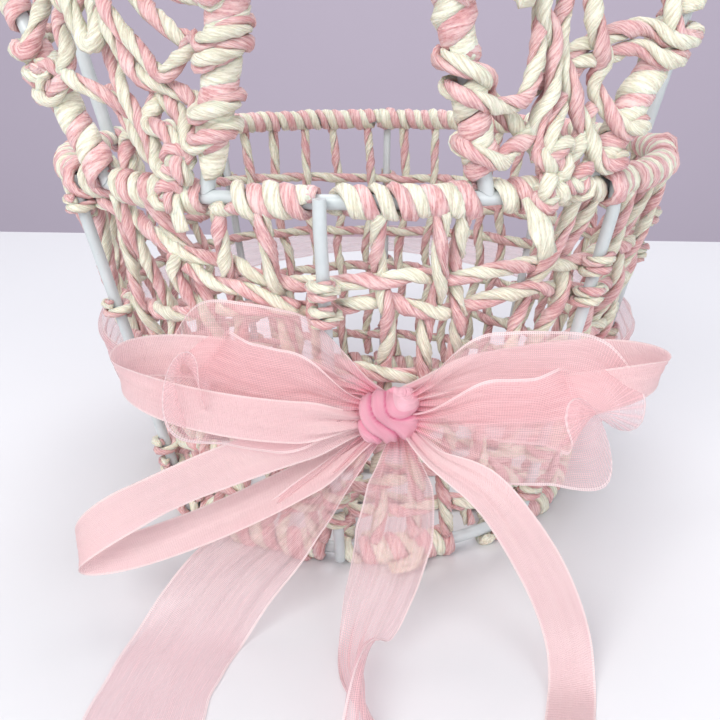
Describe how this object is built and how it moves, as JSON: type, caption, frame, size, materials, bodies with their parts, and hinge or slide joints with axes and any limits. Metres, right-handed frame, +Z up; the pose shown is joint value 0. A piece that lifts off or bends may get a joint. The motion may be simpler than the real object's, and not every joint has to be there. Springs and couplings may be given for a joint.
{
  "type": "easter basket",
  "caption": "Round wire basket wound and netted in twisted paper twine, with two rabbit ear loops, an arched carrying handle and a ribbon bow.",
  "frame": {"origin": "centre of the flat ring that the basket stands on, on the table", "axes": "+Z up, -Y the front with the bow, +X to the right of someone who faces the bow"},
  "size_m": [0.2306, 0.2852, 0.3106],
  "materials": {
    "coated_wire": "white powder coat",
    "paper_twine": "two-ply twisted paper, dusty pink and cream",
    "organza": "sheer woven organza with a selvage line",
    "narrow_ribbon": "fine ribbed ribbon",
    "knot_ribbon": "ribbon gathered and pulled tight"
  },
  "bodies": {
    "root": {"base_ring": "coated_wire", "base_web_lower": "paper_twine", "base_web_upper": "paper_twine", "base_wrap": "paper_twine", "bow_knot": "knot_ribbon", "ear_net_left": "paper_twine", "ear_net_right": "paper_twine", "ear_wire_left": "coated_wire", "ear_wire_right": "coated_wire", "ear_wrap_left": "paper_twine", "ear_wrap_right": "paper_twine", "handle_wire": "coated_wire", "narrow_loop_lower_left": "narrow_ribbon", "narrow_loop_right": "narrow_ribbon", "narrow_loop_upper_left": "narrow_ribbon", "narrow_tail_right": "narrow_ribbon", "organza_band": "organza", "organza_loop_left": "organza", "organza_loop_right": "organza", "organza_tail_centre": "organza", "organza_tail_left": "organza", "rim_ring": "coated_wire", "rim_wrap": "paper_twine", "upright_1": "coated_wire", "upright_2": "coated_wire", "upright_3": "coated_wire", "upright_4": "coated_wire", "upright_5": "coated_wire", "upright_6": "coated_wire", "upright_7": "coated_wire", "upright_8": "coated_wire", "wall_strands_1": "paper_twine", "wall_strands_2": "paper_twine", "wall_strands_3": "paper_twine", "wall_strands_4": "paper_twine", "wall_strands_5": "paper_twine", "wall_strands_6": "paper_twine", "wall_strands_7": "paper_twine", "wall_strands_8": "paper_twine", "weave_course_1": "paper_twine", "weave_course_2": "paper_twine", "weave_course_3": "paper_twine", "weave_course_4": "paper_twine", "weave_course_5": "paper_twine", "weave_course_6": "paper_twine"}
  },
  "joints": []
}
